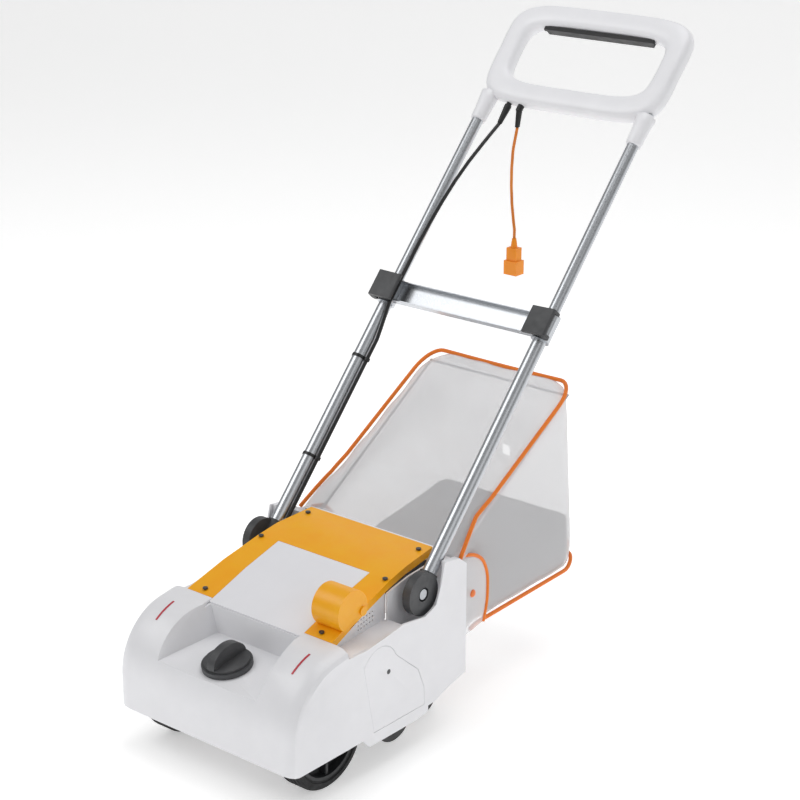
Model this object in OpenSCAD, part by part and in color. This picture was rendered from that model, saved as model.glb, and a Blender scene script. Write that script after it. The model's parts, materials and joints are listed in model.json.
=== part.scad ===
// Electric reel mower with a rear grass bag and a folding, telescopic handle.
// Millimetres. +Z is up, the mower's front faces -Y and the handle leans back
// to +Y. The ground is z = 0, and the origin is under the middle of the box
// round the mower without its short power lead.
// Inside the modules y is a station measured back from the deck's front face.

/* [Deck] */
// Width of the deck over its two side walls
deck_w = 355; // [330:1:420]
// Length of the deck from its front face to the bag mouth
deck_l = 386; // [376:1:440]
// Wall of the moulded covers
wall = 3; // [2:0.5:4]
// Gap from the ground to the deck's front lower edge
front_gap = 62; // [50:1:75]
// Radius of the crown that rounds the front of the deck
crown_r = 105; // [90:1:110]
// Width of the dial recess at its floor's rear edge
recess_w = 150; // [120:1:170]
// Height of the bag mouth's lower edge
mouth_z = 120; // [100:1:130]

/* [Motor cover] */
// Width of the yellow cover at its front edge
cover_w = 290; // [284:1:296]
// Width of the plate let into the cover
panel_w = 184; // [150:1:190]
// Radius of the hump over the motor's fan end
hump_r = 32; // [28:1:36]

/* [Reel] */
// Cutting width
reel_w = 230; // [180:1:236]
// Radius over the blades
reel_r = 45; // [40:1:46]
// Number of helical blades
blade_count = 5; // [3:1:7]
// Twist of each blade from end to end
blade_twist = 70; // [40:1:90]
// Radius of the reel's shaft
shaft_r = 6; // [5:0.5:8]

/* [Running gear] */
// Radius of the front wheels over the tyre
wheel_r = 75; // [62:1:76]
// Width of a front wheel
wheel_w = 38; // [30:1:40]
// Radius of the rear roller
roller_r = 30; // [24:1:34]
// Radius of the wheel axle
axle_r = 6; // [5:0.5:8]
// Radius of the reel pulley
reel_pulley_r = 40; // [36:1:42]
// Radius of the motor pulley
motor_pulley_r = 12; // [9:0.5:14]

/* [Cutting height dial] */
// Radius of the dial's base ring
dial_r = 38; // [30:1:42]
// Height of the dial over the recess floor
dial_h = 36; // [30:1:40]

/* [Handle] */
// Angle of the handle above the ground
handle_deg = 48; // [40:1:56]
// Distance between the centres of the two tubes
tube_spacing = 308; // [306:1:312]
// Outside radius of the lower tubes
tube_r = 11; // [10:0.5:12]
// Wall of both pairs of tubes
tube_wall = 1.4; // [1:0.1:2]
// Distance from the fold bolt to the crossbar
crossbar_at = 455; // [380:5:500]
// Distance from the fold bolt to the lower edge of the grip moulding
grip_at = 826; // [760:1:900]
// Length of the grip moulding along the handle
grip_h = 192; // [180:1:220]
// Thickness of the grip moulding
grip_t = 32; // [28:1:40]
// Radius of the round hinge plates
hinge_r = 33; // [30:1:36]

/* [Grass bag] */
// Width of the bag body
bag_w = 296; // [270:1:300]
// Length of the bag behind the deck
bag_l = 340; // [300:1:400]
// Height of the bag's top rear edge
bag_top = 456; // [400:1:480]
// Thickness of the bag's sheet
sheet = 1.5; // [1:0.5:3]
// Radius of the piping round the bag's edges
piping_r = 3.5; // [2.5:0.5:5]

/* [Fits] */
// Radial clearance of a running fit
running = 0.05; // [0.02:0.01:0.1]
// Gap between covers that meet
seam = 0.4; // [0.3:0.1:1]

/* [Hidden] */
$fn = 64;
e = 0.01;

// Deck
deck_x = deck_w / 2;
side_in = deck_x - wall;
crown_z = crown_r + 112;
hood_l = 118;
cover_front_z = crown_z + 3;
shoulder = 22;
shoulder_drop = 12;
rim_z = 205;
recess_back = 110;
recess_floor_back = 172;
recess_floor_front = 156;
recess_deg = atan((recess_floor_back - recess_floor_front) / (recess_back - 12));

// Yellow cover: its top line runs through these stations and heights
cover_x = cover_w / 2;
cover_end = 372;
cover_line = [[hood_l, cover_front_z], [190, 245], [260, 264], [300, 272], [cover_end, 278]];
cover_plan = [[hood_l + seam, cover_x], [190, cover_x - 6], [256, cover_x - 12], [300, cover_x - 15],
              [cover_end, cover_x - 22]];
skirt = 9;
panel_x = panel_w / 2;
panel_end = 263;
hump_y = 162;
hump_z = 254;
hump_in = 96;
hump_out = 147;
nub_r = 7;

// Side frames and what they carry
frame_in = reel_w / 2 + 7;
frame_t = 4;
frame_out = frame_in + frame_t;
reel_y = 240;
reel_z = reel_r + 15;
motor_y = 155;
motor_z = 186;
motor_r = 27;
roller_y = 360;
roller_z = roller_r;
arm_y = 190;
arm_z = 125;
wheel_y = 99;
wheel_z = wheel_r;
wheel_out = 155;
wheel_in = wheel_out - wheel_w;
rim_r = wheel_r - 15;
arm_x = wheel_in - 7;
belt_in = 142;
belt_out = 156;
screw_y = 205;
screw_z = 152;
rods = [[223, 150], [316, 74]];
knife_y = 256;
knife_top = reel_z - sqrt(reel_r * reel_r - pow(knife_y - reel_y, 2)) - 0.5;
knife_t = 2.2;

// Dial
dial_y = 54;
dial_z = recess_floor_front + (dial_y - 12) * tan(recess_deg);
spindle_r = 8;

// Handle
hinge_y = 295;
hinge_z = 240;
tube_x = tube_spacing / 2;
tube_drop = 9;
inner_tube_r = tube_r - tube_wall - running;
hinge_in = 155;
hinge_out = 169;
bolt_r = 4;
pocket_in = 137;
clamp_h = 46;
clamp_r = tube_r + 4;
grip_top = grip_at + grip_h;
sleeve_at = grip_at - 41;
pin_x = tube_x + 16;
pin_y = -clamp_r + 1;
lever_r = 3.5;
lever_front = -clamp_r - 10;

// Bag
bag_x = bag_w / 2;
bag_front = deck_l + 1.5;
bag_rear = bag_front + bag_l;
bag_floor = mouth_z + 8;
mouth_x = bag_x + 16;

// Overall length: the deck's front face to the back of the grip moulding
top_r = 45;
grip_back = hinge_y + (grip_top) * cos(handle_deg) + (grip_t / 2 + tube_drop) * sin(handle_deg);
y_shift = -grip_back / 2;

// Short power lead, hand-chosen points along its middle
lead_d = 5;
lead_path = [[-85, 845, 812], [-86, 843, 800], [-88, 842, 787], [-90, 841, 772],
             [-91, 841, 757], [-92, 841, 742], [-92, 841, 727], [-92, 841, 712],
             [-91, 841, 697], [-90, 841, 682], [-88, 841, 667], [-86, 841, 652],
             [-84, 841, 640], [-84, 841, 632], [-84, 841, 625]];

// Cable from the grip down to the deck, hand-chosen as [x, height over the tubes, distance]
cable_d = 6;
upper_cable_path = [[-109, 0, 786], [-110, 4, 770], [-113, 10, 740], [-118, 16, 700],
                    [-123, 19, 660], [-127, 20, 620], [-130, 20, 580], [-133, 18, 545],
                    [-135, 16, 520], [-136, 14.5, 500], [-136, 14.5, 484.5]];
lower_cable_path = [[-136, 14.5, 484], [-136, 14.5, 460], [-136, 14.5, 430], [-137, 9, 412], [-138.5, 2, 390],
                    [-138.5, -2, 370], [-138.5, -2, 330], [-138.5, -2, 280], [-138.5, -2, 230],
                    [-138.5, -2, 180], [-138.5, -2, 130], [-138.5, -2, 90], [-138.5, -2, 44]];
clip_at = [150, 330];
clip_h = 5;

// Moves what is drawn at a station to the mower's own frame
module place() {
    translate([0, y_shift, 0]) children();
}

// Extrudes an outline drawn as [station, height] across the mower
module across(x0, x1) {
    translate([x0, 0, 0]) rotate([90, 0, 90]) linear_extrude(x1 - x0) children();
}

// Draws its children on the right side and mirrored on the left
module both_sides() {
    children();
    mirror([1, 0, 0]) children();
}

// A round bar along X
module rod_x(x0, x1, y, z, r) {
    translate([x0, y, z]) rotate([0, 90, 0]) cylinder(h = x1 - x0, r = r);
}

// A ring along X
module ring_x(x0, x1, y, z, r, bore) {
    difference() {
        rod_x(x0, x1, y, z, r);
        rod_x(x0 - e, x1 + e, y, z, bore);
    }
}

// Moves what is drawn along the handle: local Z runs up the handle from the fold
// bolt, local Y points back and down, local X stays
module on_handle() {
    place() translate([0, hinge_y, hinge_z]) rotate([handle_deg - 90, 0, 0])
        translate([0, tube_drop, 0]) children();
}

// Points of an arc in the plane
function arc(cx, cy, r, a0, a1, n) =
    [for (i = [0:n]) [cx + r * cos(a0 + (a1 - a0) * i / n), cy + r * sin(a0 + (a1 - a0) * i / n)]];

// Height of a line of points at station y
function height_at(line, y, i = 0) =
    i >= len(line) - 2 || y <= line[i + 1][0]
        ? line[i][1] + (line[i + 1][1] - line[i][1]) * (y - line[i][0]) / (line[i + 1][0] - line[i][0])
        : height_at(line, y, i + 1);

// A strip of the plane under a line of points, t thick, moved down by drop
function strip(line, t, drop = 0) = concat(
    [for (p = line) [p[0], p[1] - drop]],
    [for (i = [len(line) - 1:-1:0]) [line[i][0], line[i][1] - drop - t]]);

// The part of a line between two stations
function between(line, y0, y1) = concat(
    [[y0, height_at(line, y0)]],
    [for (p = line) if (p[0] > y0 && p[0] < y1) p],
    [[y1, height_at(line, y1)]]);

// A tube swept along points, its first ring square to its first stretch
function unit(v) = v / norm(v);
function along(p, i) = unit(p[min(i + 1, len(p) - 1)] - p[max(i - 1, 0)]);
function ring_at(p, i, r, sides, up) = let (t = along(p, i), u = unit(cross(t, up)), v = cross(t, u))
    [for (k = [0:sides - 1]) p[i] + r * (cos(360 * k / sides) * u + sin(360 * k / sides) * v)];
module swept_tube(p, d, sides = 8, up = [1, 0, 0]) {
    n = len(p);
    points = [for (i = [0:n - 1]) each ring_at(p, i, d / 2, sides, up)];
    walls = [for (i = [0:n - 2], k = [0:sides - 1])
        [i * sides + k, i * sides + (k + 1) % sides, (i + 1) * sides + (k + 1) % sides, (i + 1) * sides + k]];
    near_end = [[for (k = [sides - 1:-1:0]) k]];
    far_end = [[for (k = [0:sides - 1]) (n - 1) * sides + k]];
    polyhedron(points, [for (f = concat(walls, near_end, far_end)) [for (i = [len(f) - 1:-1:0]) f[i]]]);
}

// ---------------------------------------------------------------- deck

// The hood seen from the side, moved in by inset
function crown(inset) = concat(
    [[inset, front_gap], [inset, 112]],
    arc(crown_r, 112, crown_r - inset, 180, 90, 16),
    [[hood_l, cover_front_z - inset], [hood_l, front_gap]]);

// The hood: slices that shrink towards the two sides, so that its shoulders are round
module hood_solid(grow) {
    hull() for (t = [0:30:90], side = [-1, 1]) {
        x = deck_x - shoulder + (shoulder - grow) * sin(t);
        across(min(side * x, side * (x - 1)), max(side * x, side * (x - 1)))
            polygon(crown(grow + shoulder_drop * (1 - cos(t))));
    }
}

// The recess round the dial, a tray that narrows down to its floor
module recess(grow) {
    half_floor = recess_w / 2 + grow;
    half_top = panel_x + grow;
    hull() {
        translate([0, recess_back + grow, 0]) rotate([90, 0, 0]) linear_extrude(e)
            polygon([[-half_floor, recess_floor_back - grow], [half_floor, recess_floor_back - grow],
                     [half_top, cover_front_z + 9], [-half_top, cover_front_z + 9]]);
        translate([0, -1, 0]) rotate([90, 0, 0]) linear_extrude(e)
            polygon([[-half_top - 10, recess_floor_front - 2 - grow], [half_top + 10, recess_floor_front - 2 - grow],
                     [half_top + 26, cover_front_z + 9], [-half_top - 26, cover_front_z + 9]]);
    }
}

function side_line() = concat(
    [[shoulder_drop, front_gap], [shoulder_drop, 112]],
    arc(crown_r, 112, crown_r - shoulder_drop, 180, 90, 16),
    [[158, rim_z - 1], [197, 209], [240, rim_z + 10], [288, 209], [314, 219], [325, 247], [334, 280], [368, 276], [deck_l, 262],
     [deck_l, 82], [345, 72], [311, 61], [296, 60], [296, 50], [266, 47], [161, 47], [148, front_gap]]);

module deck_shell() {
    color("white") place() difference() {
        union() {
            difference() {
                hood_solid(0);
                hood_solid(wall);
                translate([-deck_w, hood_l - 2 * e, 0]) cube([2 * deck_w, 20, 400]);
                translate([-panel_x, recess_back, recess_floor_back]) cube([2 * panel_x, 20, 100]);
            }
            intersection() {
                recess(wall);
                hood_solid(0.2);
            }
            both_sides() {
                across(side_in, deck_x) polygon(side_line());
                intersection() {
                    across(side_in - 7, side_in + e) polygon(side_line());
                    translate([0, 338, 180]) cube([deck_x, deck_l - 338, 120]);
                }
                shoulder_walls();
                pocket_walls();
            }
            rear_beam();
            rod_x(side_in - 6, side_in + e, screw_y, screw_z, 5);
        }
        recess(0);
        across(-panel_x - seam, panel_x + seam) polygon(strip(between(cover_line, 100, 140), 40, seam - 38));
        dial_axis() translate([0, 0, -20]) cylinder(h = 40, r = spindle_r + running);
        both_sides() {
            rod_x(pocket_in - 2 * wall, side_in - 1, hinge_y, hinge_z, bolt_r + running);
            deck_vents();
        }
        across(deck_x - 1.5, deck_x + 1) offset(seam) belt_cover_outline();
        rod_x(side_in - 7, deck_x + 1, screw_y, screw_z, 2.05);
        at_cover_screws() cylinder(h = 30, r = 2.05, center = true);
    }
}

// The cover seen from above, its long edges moved in by inset and its ends out by ends
module cover_plan_slab(inset, ends) {
    last = len(cover_plan) - 1;
    right = [for (i = [0:last])
        [cover_plan[i][1] - inset, cover_plan[i][0] + (i == 0 ? -ends : i == last ? ends : 0)]];
    translate([0, 0, 150]) linear_extrude(200)
        polygon(concat(right, [for (i = [last:-1:0]) [-right[i][0], right[i][1]]]));
}

// The shelf beside the cover and the upright wall under the cover's edge
module shoulder_walls() {
    translate([cover_x - 18, hood_l - 4, rim_z - wall])
        cube([side_in - cover_x + 18 + e, 250 - hood_l + 4, wall]);
    intersection() {
        across(0, deck_x) polygon(concat(
            [for (p = between(cover_line, hood_l - 3, 253)) [p[0], p[1] - wall - seam]],
            [[253, rim_z - e], [hood_l - 3, rim_z - e]]));
        difference() {
            cover_plan_slab(wall + seam, 3.4);
            cover_plan_slab(2 * wall + seam, 4);
        }
    }
}

// The pocket that the hinge plate turns in, open at the top
module pocket_walls() {
    translate([pocket_in - wall, 250, 180]) cube([side_in - pocket_in + wall + e, wall, rim_z - 180]);
    across(pocket_in - wall, pocket_in) polygon(concat([[deck_l, 180], [250, 180]],
        [for (p = between(cover_line, 250, cover_end)) [p[0], p[1] - wall - skirt - 1]],
        [[deck_l, height_at(cover_line, cover_end) - wall - skirt - 1]]));
    translate([pocket_in - wall, 250, 180]) cube([side_in - pocket_in + wall + e, deck_l - 250, wall]);
}

// Beam across the top of the bag mouth, behind the cover
module rear_beam() {
    translate([-pocket_in, cover_end + 1, 252]) cube([2 * pocket_in, deck_l - cover_end - 1, 20]);
    translate([-side_in - e, cover_end + 1, 252]) cube([2 * (side_in + e), deck_l - cover_end - 1, 10]);
}

module deck_vents() {
    for (row = [0:2], i = [0:5])
        translate([cover_x - 20, 186 + 7 * i, 212 + 7 * row + 0.5 * i])
            rotate([0, 90, 0]) cylinder(h = 25, r = 1.5, $fn = 16);
}

// Places its children on the dial's leaning axis, with z = 0 on the recess floor
module dial_axis() {
    translate([0, dial_y, dial_z]) rotate([recess_deg, 0, 0]) children();
}

module at_cover_screws() {
    for (p = [[117, 128], [125, 259], [112, 352]])
        for (side = [-1, 1])
            translate([side * p[0], p[1], height_at(cover_line, p[1])]) children();
}

module motor_cover() {
    color("orange") place() difference() {
        union() {
            intersection() {
                across(-cover_x, cover_x) polygon(strip(between(cover_line, hood_l + seam, cover_end), wall));
                cover_plan_slab(0, 0);
            }
            intersection() {
                across(-cover_x, cover_x) polygon(strip(between(cover_line, hood_l + seam, cover_end), skirt, wall - e));
                difference() {
                    cover_plan_slab(0, 0);
                    cover_plan_slab(wall, 1);
                }
            }
            intersection() {
                union() {
                    rod_x(hump_in, hump_out, hump_y, hump_z, hump_r);
                    rod_x(hump_out - 22, hump_out + 3, hump_y + 21, hump_z - 6, nub_r);
                }
                across(0, cover_x + 10)
                    polygon(strip(between(cover_line, hump_y - hump_r, hump_y + hump_r), 100, wall - 100));
            }
        }
        rod_x(hump_in + wall, hump_out - wall, hump_y, hump_z, hump_r - wall);
        across(-panel_x - seam, panel_x + seam) polygon(strip(between(cover_line, 100, panel_end + seam), 40, -30));
        at_cover_screws() cylinder(h = 30, r = 2.05, center = true);
    }
}

module top_panel() {
    color("whitesmoke") place() difference() {
        across(-panel_x, panel_x) polygon(strip(between(cover_line, recess_back + 1, panel_end), 2));
        rod_x(hump_in - seam, cover_x, hump_y, hump_z, hump_r + seam);
    }
}

// The belt cover seen from the side, as [station, height]
module belt_cover_outline() {
    polygon(concat([[172, 66], [150, 180]], arc(186, 160, 38, 150, 20, 12), [[272, 130], [286, 96], [287, 66]]));
}

// Plate let flush into the right side wall over the belt
module belt_cover() {
    color("white") place() difference() {
        across(deck_x - 1.45, deck_x) belt_cover_outline();
        screw_head(0.05);
    }
}

// Countersunk head, flush with the side wall
module screw_head(grow) {
    translate([deck_x - 1.5 - e, screw_y, screw_z]) rotate([0, 90, 0])
        cylinder(h = 1.5 + 2 * e + grow, r1 = 2.1 + grow, r2 = 4 + grow);
}

module cover_screws() {
    color("dimgray") place() {
        at_cover_screws() {
            translate([0, 0, 1.2]) cylinder(h = 2, r = 4);
            translate([0, 0, -6.5]) cylinder(h = 7.7, r = 2);
        }
        difference() {
            union() {
                rod_x(side_in - 5, deck_x - 1, screw_y, screw_z, 2);
                screw_head(0);
            }
            translate([deck_x - 0.1, screw_y - 6, screw_z - 6]) cube(12);
        }
    }
}

// Two thin inlays that show the cutting width
module edge_marks() {
    color("crimson") place() both_sides() difference() {
        translate([135, 44, 0]) cube([3, 37, 300]);
        across(130, 142) polygon(concat(arc(crown_r, 112, crown_r + 0.05, 180, 90, 20), [[hood_l, -50], [0, -50]]));
        across(130, 142) polygon(concat(arc(crown_r, 112, crown_r + 0.8, 180, 90, 20), [[200, 400], [-200, 400], [-200, 112]]));
    }
}

// ---------------------------------------------------------------- frames and reel

module side_frame() {
    difference() {
        across(frame_in, frame_out) polygon([[205, 40], [225, 28], [260, 24], [300, 30], [350, 16], [376, 22], [378, 60],
            [340, 96], [260, 120], [240, 162], [205, 166], [178, 145], [178, 112], [205, 104]]);
        rod_x(frame_in - 1, frame_out + 1, reel_y, reel_z, 13);
        rod_x(frame_in - 1, frame_out + 1, roller_y, roller_z, shaft_r + 0.02);
        rod_x(frame_in - 1, frame_out + 1, arm_y, arm_z, 8 + running);
        for (p = rods) rod_x(frame_in - 1, frame_out + 1, p[0], p[1], 5.02);
    }
}

module left_side_frame() {
    color("gray") place() mirror([1, 0, 0]) side_frame();
}

module right_side_frame() {
    color("gray") place() side_frame();
}

// Two bars that tie the frames to each other and to the deck's side walls
module tie_rods() {
    color("silver") place() for (p = rods) {
        rod_x(-side_in + 0.1, side_in - 0.1, p[0], p[1], 5);
    }
}

module bed_knife_bar() {
    foot = knife_top + 0.05;
    color("dimgray") place() difference() {
        across(-frame_in + 0.05, frame_in - 0.05) polygon([[knife_y + 13, foot], [292, foot], [292, 34],
            [286, 34], [286, foot + 4.5], [knife_y + 13, foot + 4.5]]);
        for (x = [-90:45:90]) translate([x, 277, 0]) cylinder(h = 40, r = 2.5);
    }
}

module bed_knife() {
    color("silver") place() {
        across(-reel_w / 2, reel_w / 2) polygon([[knife_y - 1, knife_top - knife_t], [288, knife_top - knife_t],
            [288, knife_top], [knife_y, knife_top]]);
        for (x = [-90:45:90]) translate([x, 277, knife_top - 0.5]) cylinder(h = 7, r = 2.45);
    }
}

module reel_bearings() {
    color("silver") place() both_sides()
        ring_x(frame_in, frame_out, reel_y, reel_z, 12.98, shaft_r + running);
}

module reel_shaft() {
    color("silver") place() rod_x(-frame_out - 4, belt_out + 6, reel_y, reel_z, shaft_r);
}

module reel_discs() {
    color("dimgray") place() for (x = [-108, -54, 0, 54, 104]) {
        ring_x(x, x + 4, reel_y, reel_z, reel_r - 11, shaft_r + 0.01);
    }
}

module reel_blades() {
    color("silver") place() translate([-reel_w / 2 + 2, reel_y, reel_z]) rotate([90, 0, 90])
        linear_extrude(height = reel_w - 4, twist = blade_twist, slices = 20, $fn = 8)
            for (i = [0:blade_count - 1]) rotate(360 * i / blade_count)
                translate([reel_r - 10.7, -1.2]) square([10.6, 2.4]);
}

// A belt pulley with a flange at each side of its groove
module pulley(y, z, r, bore) {
    difference() {
        union() {
            rod_x(belt_in - 2, belt_in - 0.5, y, z, r + 1.5);
            rod_x(belt_in - 0.6, belt_out + 0.6, y, z, r - 2);
            rod_x(belt_out + 0.5, belt_out + 2, y, z, r + 1.5);
        }
        rod_x(belt_in - 3, belt_out + 3, y, z, bore + 0.01);
    }
}

module reel_pulley() {
    color("dimgray") place() pulley(reel_y, reel_z, reel_pulley_r, shaft_r);
}

module motor_pulley() {
    color("dimgray") place() pulley(motor_y, motor_z, motor_pulley_r, 4);
}

// Flat belt round both pulleys
module drive_belt() {
    color("black") place() across(belt_in, belt_out) difference() {
        belt_outline(0);
        belt_outline(-1.6);
    }
}

module belt_outline(grow) {
    hull() {
        translate([reel_y, reel_z]) circle(reel_pulley_r + grow, $fn = 48);
        translate([motor_y, motor_z]) circle(motor_pulley_r + grow, $fn = 32);
    }
}

module motor() {
    color("dimgray") place() difference() {
        union() {
            rod_x(-14, 101, motor_y, motor_z, motor_r);
            rod_x(100, 118, motor_y, motor_z + 2, motor_r + 3);
            translate([-6, motor_y - 8, motor_z - motor_r - 3]) cube([96, 16, 8]);
        }
        rod_x(20, 125, motor_y, motor_z, 4 + running);
        rod_x(102, 114, motor_y, motor_z, 21);
    }
}

module motor_shaft() {
    color("silver") place() {
        rod_x(24, belt_out + 3, motor_y, motor_z, 4);
        rod_x(104, 112, motor_y, motor_z, 19);
    }
}

// ---------------------------------------------------------------- running gear

module roller_shaft() {
    color("silver") place() rod_x(-frame_out - 3, frame_out + 3, roller_y, roller_z, shaft_r);
}

module roller_drum() {
    color("dimgray") place() {
        both_sides() ring_x(frame_in - 14, frame_in - 4, roller_y, roller_z, roller_r, shaft_r + running);
        ring_x(-frame_in + 13.9, frame_in - 13.9, roller_y, roller_z, roller_r, roller_r - 3);
    }
}

// Carrier of the front wheels: a tube across the frames, two arms and a tongue
module axle_arm() {
    color("dimgray") place() difference() {
        union() {
            rod_x(-frame_out - 3, frame_out + 3, arm_y, arm_z, 8);
            both_sides() across(arm_x - 5, arm_x) hull() {
                translate([arm_y, arm_z]) circle(14);
                translate([wheel_y, wheel_z]) circle(11);
            }
            across(-10, 10) polygon([[arm_y - 6, arm_z - 3], [arm_y - 6, arm_z + 3], [78, 131], [78, 125]]);
        }
        rod_x(-arm_x - 1, arm_x + 1, wheel_y, wheel_z, axle_r + 0.02);
    }
}

module wheel_axle() {
    color("silver") place() {
        rod_x(-wheel_out - 5, wheel_out + 5, wheel_y, wheel_z, axle_r);
        both_sides() rod_x(wheel_out + 0.6, wheel_out + 4, wheel_y, wheel_z, axle_r + 4);
    }
}

// Rim with a hub, five spokes and a ring that the tyre sits on
module wheel_rim() {
    ring_x(wheel_in, wheel_out, wheel_y, wheel_z, 15, axle_r + running);
    ring_x(wheel_in + 2, wheel_out - 2, wheel_y, wheel_z, rim_r, rim_r - 5);
    ring_x(wheel_in + wheel_w / 2 - 2, wheel_in + wheel_w / 2 + 2, wheel_y, wheel_z, rim_r - 4.9, 14.9);
    for (a = [0:60:300]) translate([wheel_in + 5, wheel_y, wheel_z]) rotate([a, 0, 0])
        translate([0, -2.5, 14.8]) cube([wheel_w - 10, 5, rim_r - 19.2]);
}

module tyre() {
    ring_x(wheel_in + 2, wheel_out - 2, wheel_y, wheel_z, wheel_r - 2, rim_r + 0.01);
    ring_x(wheel_in, wheel_out, wheel_y, wheel_z, wheel_r - 5, rim_r + 3);
    for (i = [0:3]) ring_x(wheel_in + 4 + i * (wheel_w - 12.5) / 3, wheel_in + 8.5 + i * (wheel_w - 12.5) / 3,
        wheel_y, wheel_z, wheel_r, wheel_r - 2.1);
}

module left_wheel_rim() {
    color("dimgray") place() mirror([1, 0, 0]) wheel_rim();
}

module right_wheel_rim() {
    color("dimgray") place() wheel_rim();
}

module left_tyre() {
    color("darkslategray") place() mirror([1, 0, 0]) tyre();
}

module right_tyre() {
    color("darkslategray") place() tyre();
}

module height_dial() {
    color("dimgray") place() dial_axis() {
        translate([0, 0, 1]) difference() {
            union() {
                cylinder(h = 7, r = dial_r);
                translate([0, 0, 7 - e]) cylinder(h = 4, r = dial_r - 4);
                translate([-7, 0, 9]) rotate([90, 0, 90]) linear_extrude(14) intersection() {
                    scale([(dial_r - 4) / (dial_h - 10), 1]) circle(dial_h - 10);
                    translate([-dial_r, 0]) square([2 * dial_r, dial_h]);
                }
            }
            translate([0, 0, -e]) cylinder(h = 9, r = spindle_r - 2);
        }
    }
}

// Spindle through the recess floor with the cam plate under it
module height_cam() {
    color("silver") place() dial_axis() {
        translate([0, 0, -10]) cylinder(h = 18.9, r = spindle_r - 2.01);
        translate([0, 0, -12]) cylinder(h = 5, r = 26);
        translate([0, 0, -7]) cylinder(h = 7.9, r = spindle_r);
    }
}

// ---------------------------------------------------------------- handle

module hinge_plate() {
    difference() {
        union() {
            translate([hinge_in, 0, 0]) rotate([0, 90, 0]) translate([0, -tube_drop, 0])
                cylinder(h = hinge_out - hinge_in, r = hinge_r);
            translate([tube_x, 0, 4]) cylinder(h = hinge_r - 2, r = tube_r + 3);
        }
        translate([tube_x, 0, 10]) cylinder(h = 60, r = tube_r + 0.01);
        translate([0, -tube_drop, 0]) rod_x(hinge_in - 20, hinge_out + 1, 0, 0, bolt_r + running);
        translate([0, -tube_drop, 0]) rod_x(hinge_out - 7, hinge_out + 1, 0, 0, 11);
    }
}

module hinge_bolts() {
    color("silver") place() both_sides() {
        rod_x(pocket_in - 9, hinge_out - 6.9, hinge_y, hinge_z, bolt_r);
        rod_x(hinge_out - 6.8, hinge_out - 1, hinge_y, hinge_z, 8);
        translate([pocket_in - 9, hinge_y, hinge_z]) rotate([0, 90, 0]) cylinder(h = 5.9, r = 7.5, $fn = 6);
    }
}

module left_hinge_plate() {
    color("dimgray") on_handle() mirror([1, 0, 0]) hinge_plate();
}

module right_hinge_plate() {
    color("dimgray") on_handle() hinge_plate();
}

module tube(s0, s1, r) {
    translate([tube_x, 0, s0]) difference() {
        cylinder(h = s1 - s0, r = r);
        translate([0, 0, -1]) cylinder(h = s1 - s0 + 2, r = r - tube_wall);
    }
}

module left_lower_tube() {
    color("silver") on_handle() mirror([1, 0, 0]) tube(11, crossbar_at + 20, tube_r);
}

module right_lower_tube() {
    color("silver") on_handle() tube(11, crossbar_at + 20, tube_r);
}

module left_upper_tube() {
    color("silver") on_handle() mirror([1, 0, 0]) tube(crossbar_at - 150, grip_at + 24, inner_tube_r);
}

module right_upper_tube() {
    color("silver") on_handle() tube(crossbar_at - 150, grip_at + 24, inner_tube_r);
}

// Channel between the two clamps, open to the front
module crossbar() {
    half = tube_x - clamp_r - 1;
    color("silver") on_handle() difference() {
        translate([-half, -11, crossbar_at - 18]) cube([2 * half, 14, 36]);
        translate([-half - 1, -12, crossbar_at - 16]) cube([2 * half + 2, 13, 32]);
    }
}

// Clamp body round the end of a lower tube, with a lug for the lever's pin
module clamp() {
    at = crossbar_at - clamp_h / 2;
    difference() {
        union() {
            translate([tube_x, 0, at]) cylinder(h = clamp_h, r = clamp_r);
            translate([tube_x - clamp_r - 0.9, -10, at + 5.1]) cube([10, 12, clamp_h - 10.2]);
            translate([pin_x, pin_y, at + 6]) cylinder(h = clamp_h - 12, r = 6);
            translate([tube_x + 4, pin_y - 5, at + 6]) cube([pin_x - tube_x - 4, 10, clamp_h - 12]);
        }
        translate([tube_x, 0, at - 1]) cylinder(h = clamp_h + 2, r = tube_r + 0.01);
        translate([pin_x, pin_y, at]) cylinder(h = clamp_h, r = 2.5 + running);
    }
}

module left_clamp() {
    color("gray") on_handle() mirror([1, 0, 0]) clamp();
}

module right_clamp() {
    color("gray") on_handle() clamp();
}

// Cam lever that closes flat across the front of the clamp
module clamp_lever() {
    at = crossbar_at - clamp_h / 2;
    translate([pin_x, pin_y, at + 1]) cylinder(h = clamp_h - 2, r = 2.5);
    for (z = [at + 0.5, at + clamp_h - 5.5]) translate([0, 0, z]) linear_extrude(5) hull() {
        translate([pin_x, pin_y]) circle(6, $fn = 32);
        translate([pin_x + 2, lever_front]) circle(lever_r, $fn = 32);
    }
    translate([0, 0, at + 0.5]) linear_extrude(clamp_h - 1) hull() {
        translate([pin_x + 2, lever_front]) circle(lever_r, $fn = 32);
        translate([tube_x - 20, lever_front + 2]) circle(lever_r, $fn = 32);
    }
}

module left_clamp_lever() {
    color("dimgray") on_handle() mirror([1, 0, 0]) clamp_lever();
}

module right_clamp_lever() {
    color("dimgray") on_handle() clamp_lever();
}

// Outline of the grip moulding seen square to the handle, as [x, distance]
module grip_outline(grow) {
    difference() {
        union() {
            hull() for (side = [-1, 1]) {
                translate([side * (tube_x + 23 - top_r), grip_top - top_r]) circle(top_r + grow, $fn = 48);
                translate([side * (tube_x + 2), grip_at + 21]) circle(21 + grow, $fn = 32);
            }
            for (side = [-1, 1]) translate([side * tube_x - 15 - grow, sleeve_at - grow])
                square([30 + 2 * grow, 60]);
        }
        grip_opening(-grow);
    }
}

module grip_opening(grow) {
    hull() for (side = [-1, 1]) {
        translate([side * 107, grip_top - 40 - 30]) circle(30 + grow, $fn = 32);
        translate([side * 117, grip_at + 40 + 18]) circle(18 + grow, $fn = 32);
    }
}

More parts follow.
